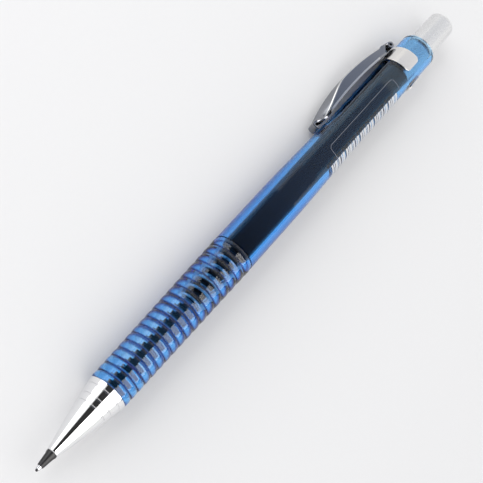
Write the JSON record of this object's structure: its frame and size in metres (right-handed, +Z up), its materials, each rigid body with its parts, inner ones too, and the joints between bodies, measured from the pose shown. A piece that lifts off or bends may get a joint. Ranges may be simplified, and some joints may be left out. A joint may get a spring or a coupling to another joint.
{
  "type": "mechanical pencil",
  "caption": "Push-button mechanical pencil with a clear ridged barrel, chrome nose cone, sprung feed chuck, eraser under the button and a pocket clip.",
  "frame": {"origin": "middle of the underside of the pencil's box, on the table it lies on", "axes": "+X along the pencil from the point to the button, +Y towards the clip's side, +Z up"},
  "size_m": [0.145, 0.0136, 0.01],
  "materials": {
    "graphite": "dull grey graphite",
    "sleeve_steel": "bright drawn steel",
    "black_collar": "satin black",
    "retainer_rubber": "soft matt rubber",
    "nose_chrome": "polished chrome",
    "chuck_brass": "turned brass",
    "guide_chrome": "bright plated tube",
    "spring_steel": "bright spring wire",
    "feed_black": "satin black",
    "barrel_blue": "clear blue, polished",
    "clip_steel": "dark chrome plate",
    "band_steel": "satin steel",
    "button_silver": "metallised silver",
    "eraser_white": "soft white",
    "holder_metal": "plain aluminium"
  },
  "bodies": {
    "barrel_body": {"barrel": "barrel_blue", "clip_band": "band_steel", "guide_sleeve": "guide_chrome", "chuck_bush": "chuck_brass", "spring": "spring_steel"},
    "nose_core": {"tip_collar": "black_collar", "lead_sleeve": "sleeve_steel", "lead_retainer": "retainer_rubber"},
    "nose_shell": {"nose_cone": "nose_chrome"},
    "plunger": {"feed_stem": "feed_black", "lead_tube": "feed_black", "chuck": "chuck_brass", "spare_leads": "graphite", "eraser_holder": "holder_metal", "eraser": "eraser_white", "cleaning_pin": "sleeve_steel"},
    "button_cap": {"button": "button_silver"},
    "ring": {"chuck_ring": "chuck_brass"},
    "lead_stick": {"lead": "graphite"},
    "clip": {"clip_arm": "clip_steel"}
  },
  "joints": [
    {"name": "button_press", "type": "slide", "parent": "barrel_body", "child": "plunger", "axis": [-1, 0, 0], "range_m": [0, 0.0035], "stiffness_N_per_m": 600, "springref_m": -0.003, "deforming": ["spring"]},
    {"name": "ring_shift", "type": "slide", "parent": "barrel_body", "child": "ring", "axis": [-1, 0, 0], "range_m": [0, 0.0007]},
    {"name": "lead_feed", "type": "slide", "parent": "barrel_body", "child": "lead_stick", "axis": [-1, 0, 0], "range_m": [0, 0.0007]},
    {"name": "cap_pull", "type": "slide", "parent": "plunger", "child": "button_cap", "axis": [1, 0, 0], "range_m": [0, 0.015]},
    {"name": "nose_out", "type": "slide", "parent": "barrel_body", "child": "nose_core", "axis": [-1, 0, 0], "range_m": [0, 0.00375]},
    {"name": "nose_turn", "type": "hinge", "parent": "nose_core", "child": "nose_shell", "pos_m": [-0.05185, -0.0018, 0.00499], "axis": [-1, 0, 0], "range_deg": [0, 1800]},
    {"name": "clip_lift", "type": "hinge", "parent": "barrel_body", "child": "clip", "pos_m": [0.05585, 0.00336, 0.00287], "axis": [0, -0.3792, -0.9253], "range_deg": [0, 5], "stiffness_Nm_per_rad": 0.4}
  ],
  "couplings": [
    {"joint": "ring_shift", "follows": "button_press", "ratio": 0.2},
    {"joint": "lead_feed", "follows": "button_press", "ratio": 0.2},
    {"joint": "nose_turn", "follows": "nose_out", "rad_per_m": 8377.6}
  ]
}
